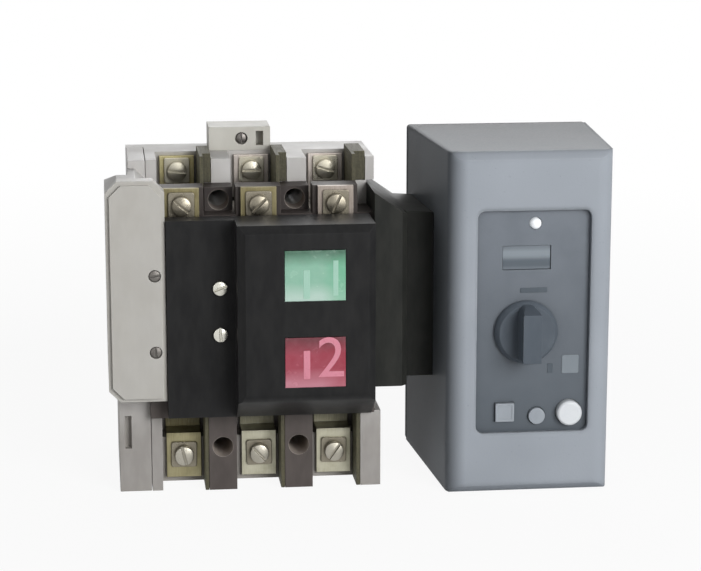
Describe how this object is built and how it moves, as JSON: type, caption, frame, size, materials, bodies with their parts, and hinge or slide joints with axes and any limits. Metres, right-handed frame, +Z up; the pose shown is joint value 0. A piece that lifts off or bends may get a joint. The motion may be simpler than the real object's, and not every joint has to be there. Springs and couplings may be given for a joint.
{
  "type": "automatic transfer switch",
  "caption": "Motor-driven double-throw switch with open terminals, black cover with green and red position windows, and a grey operator box with a selector knob.",
  "frame": {"origin": "centre of the switch base's four mounting holes, on the mounting panel's face", "axes": "+X to the right towards the operator, +Y into the panel, +Z up"},
  "size_m": [0.275, 0.1288, 0.189],
  "materials": {
    "light_plastic": "satin moulded thermoset",
    "side_plastic": "satin moulded thermoset",
    "dark_moulding": "matt moulded thermoset",
    "cover_black": "satin black",
    "green_lens": "clear tinted green",
    "red_lens": "clear tinted red",
    "white_plastic": "satin",
    "contact_copper": "passivated copper alloy",
    "screw_nickel": "nickel plated",
    "screw_dark": "dark zinc",
    "barrier_brown": "pressed insulating board",
    "chute_steel": "plain steel plates",
    "shaft_brown": "glass filled moulding",
    "bush_brass": "turned",
    "case_paint": "fine texture grey",
    "facia_grey": "matt film",
    "display_dark": "smoked window",
    "key_grey": "satin",
    "knob_dark": "satin",
    "board_green": "solder resist",
    "gear_polymer": "acetal",
    "bare_steel": "zinc plated",
    "iron_core": "varnished laminations"
  },
  "bodies": {
    "frame": {"rear_base": "light_plastic", "side_housing": "light_plastic", "side_cover": "side_plastic", "side_cover_screws": "screw_dark", "contact_housing": "dark_moulding", "phase_walls": "dark_moulding", "front_cover": "cover_black", "front_cover_screws": "screw_nickel", "upper_window": "green_lens", "lower_window": "red_lens", "indicator_backing": "white_plastic", "source_1_terminal_a": "contact_copper", "source_1_terminal_b": "contact_copper", "source_1_terminal_c": "contact_copper", "source_2_terminal_a": "contact_copper", "source_2_terminal_b": "contact_copper", "source_2_terminal_c": "contact_copper", "load_terminal_a": "contact_copper", "load_terminal_b": "contact_copper", "load_terminal_c": "contact_copper", "source_1_screws": "screw_nickel", "source_2_screws": "screw_nickel", "load_screws": "screw_nickel", "phase_barriers": "barrier_brown", "arc_chute_a": "chute_steel", "arc_chute_b": "chute_steel", "arc_chute_c": "chute_steel", "shaft_bushes": "bush_brass", "control_block": "light_plastic", "control_block_screw": "screw_dark", "aux_switch": "cover_black", "coupling_housing": "dark_moulding", "operator_back": "case_paint", "operator_case": "case_paint", "facia": "facia_grey", "display_window": "display_dark", "status_lamp": "white_plastic", "selector_switch": "cover_black", "control_board": "board_green", "gear_motor": "bare_steel", "gear_plate": "bare_steel", "transformer": "iron_core", "operator_screws": "screw_dark", "control_plug": "cover_black"},
    "rotor": {"main_shaft": "shaft_brown", "moving_contact_a": "contact_copper", "moving_contact_b": "contact_copper", "moving_contact_c": "contact_copper", "indicator_crank": "white_plastic", "aux_cam": "gear_polymer", "drive_coupling": "bare_steel", "drive_gear": "gear_polymer"},
    "flag": {"flag_carriage": "white_plastic", "position_flag": "white_plastic"},
    "pinion": {"motor_pinion": "bare_steel"},
    "selector": {"selector_knob": "knob_dark"},
    "test_push": {"test_button": "white_plastic"},
    "square_push": {"square_key": "key_grey"},
    "small_push": {"small_key": "key_grey"},
    "switch_plunger": {"aux_plunger": "red_lens"}
  },
  "joints": [
    {"name": "main_throw", "type": "hinge", "parent": "frame", "child": "rotor", "pos_m": [0, -0.058, -0.008], "axis": [1, 0, 0], "range_deg": [0, 60]},
    {"name": "flag_slide", "type": "slide", "parent": "frame", "child": "flag", "axis": [0, 0, 1], "range_m": [-0.0461, 0]},
    {"name": "pinion_spin", "type": "hinge", "parent": "frame", "child": "pinion", "pos_m": [0.1, -0.058, -0.047], "axis": [1, 0, 0], "range_deg": [-200.1, 0]},
    {"name": "plunger_lift", "type": "slide", "parent": "frame", "child": "switch_plunger", "axis": [0, 0, 1], "range_m": [0, 0.00301]},
    {"name": "selector_turn", "type": "hinge", "parent": "frame", "child": "selector", "pos_m": [0.1405, -0.11, -0.002], "axis": [0, 1, 0], "range_deg": [-45, 45]},
    {"name": "test_press", "type": "slide", "parent": "frame", "child": "test_push", "axis": [0, 1, 0], "range_m": [0, 0.003], "stiffness_N_per_m": 200, "springref_m": -0.002},
    {"name": "square_press", "type": "slide", "parent": "frame", "child": "square_push", "axis": [0, 1, 0], "range_m": [0, 0.0015], "stiffness_N_per_m": 300, "springref_m": -0.002},
    {"name": "small_press", "type": "slide", "parent": "frame", "child": "small_push", "axis": [0, 1, 0], "range_m": [0, 0.0015], "stiffness_N_per_m": 300, "springref_m": -0.002}
  ],
  "couplings": [
    {"joint": "flag_slide", "follows": "main_throw", "m_per_rad": -0.043927},
    {"joint": "pinion_spin", "follows": "main_throw", "ratio": -3.3333},
    {"joint": "plunger_lift", "follows": "main_throw", "m_per_rad": 0.0028648}
  ]
}
